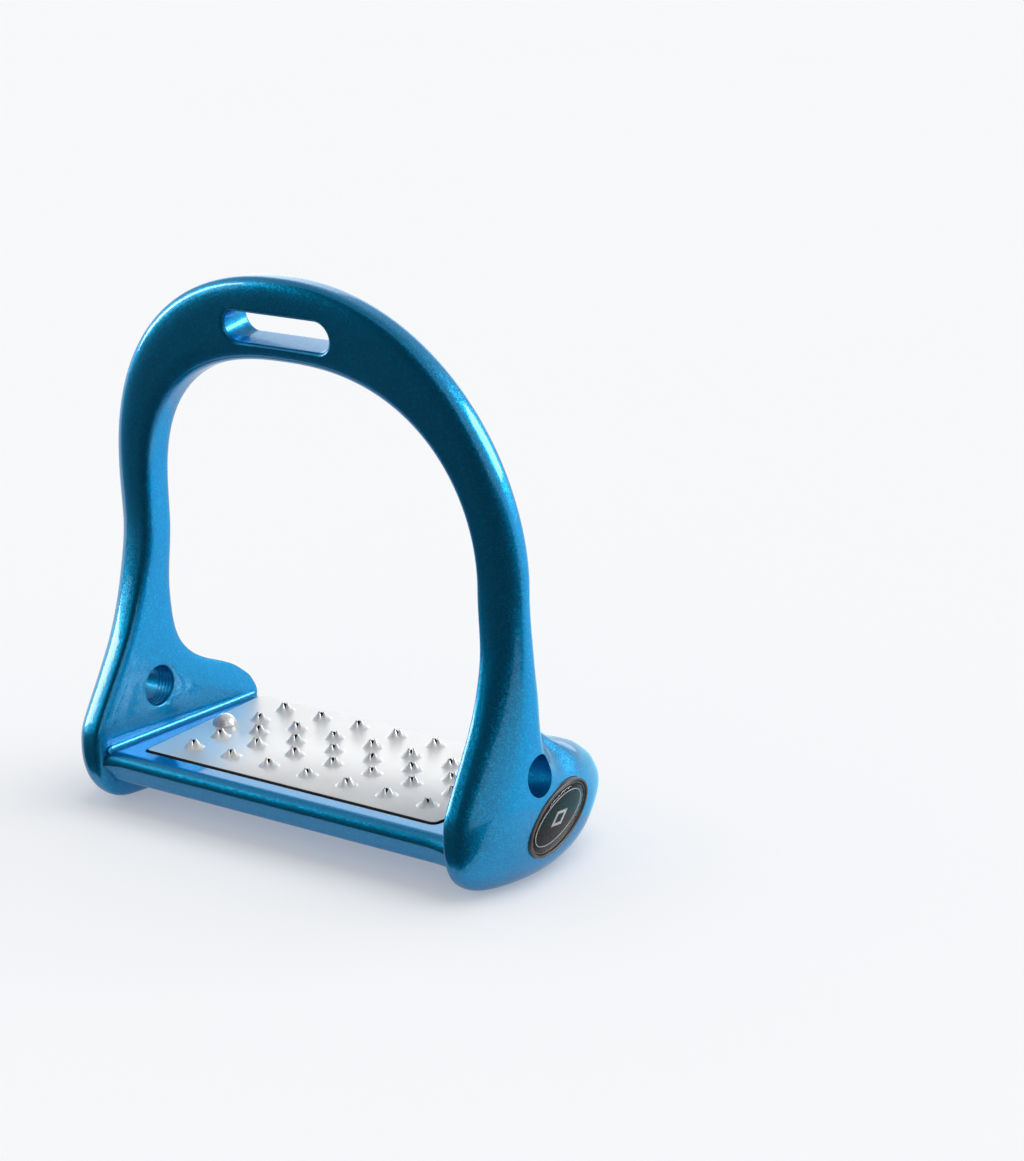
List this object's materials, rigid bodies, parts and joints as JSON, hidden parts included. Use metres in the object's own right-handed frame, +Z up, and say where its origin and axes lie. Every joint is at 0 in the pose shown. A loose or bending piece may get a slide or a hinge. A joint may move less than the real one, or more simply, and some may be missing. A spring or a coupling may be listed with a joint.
{
  "type": "stirrup iron",
  "caption": "Cast stirrup iron with a leaning arch, a leather slot, wide pierced cheeks and a crossbar that carries a toothed steel tread plate.",
  "frame": {"origin": "middle of the footprint on the ground, under the middle of the iron's box", "axes": "+Z up to the leather slot, +X across the foot to the right cheek, -Y to the front of the iron, towards which the arch leans"},
  "size_m": [0.1538, 0.0696, 0.1585],
  "materials": {
    "casting_paint": "cast aluminium under metallic blue flake paint and a gloss clear coat",
    "tread_steel": "satin stainless sheet with punched teeth",
    "bedding_rubber": "thin black sealing pad",
    "rivet_steel": "polished stainless",
    "bezel_plastic": "dark moulded ring",
    "disc_print": "black printed film",
    "dome_resin": "clear poured resin",
    "badge_adhesive": "foam adhesive"
  },
  "bodies": {
    "root": {"frame_casting": "casting_paint", "tread_plate": "tread_steel", "tread_bedding_pad": "bedding_rubber", "tread_rivets": "rivet_steel", "badge_bezel_left": "bezel_plastic", "badge_bezel_right": "bezel_plastic", "badge_disc_left": "disc_print", "badge_disc_right": "disc_print", "badge_dome_left": "dome_resin", "badge_dome_right": "dome_resin", "badge_adhesive_left": "badge_adhesive", "badge_adhesive_right": "badge_adhesive"}
  },
  "joints": []
}
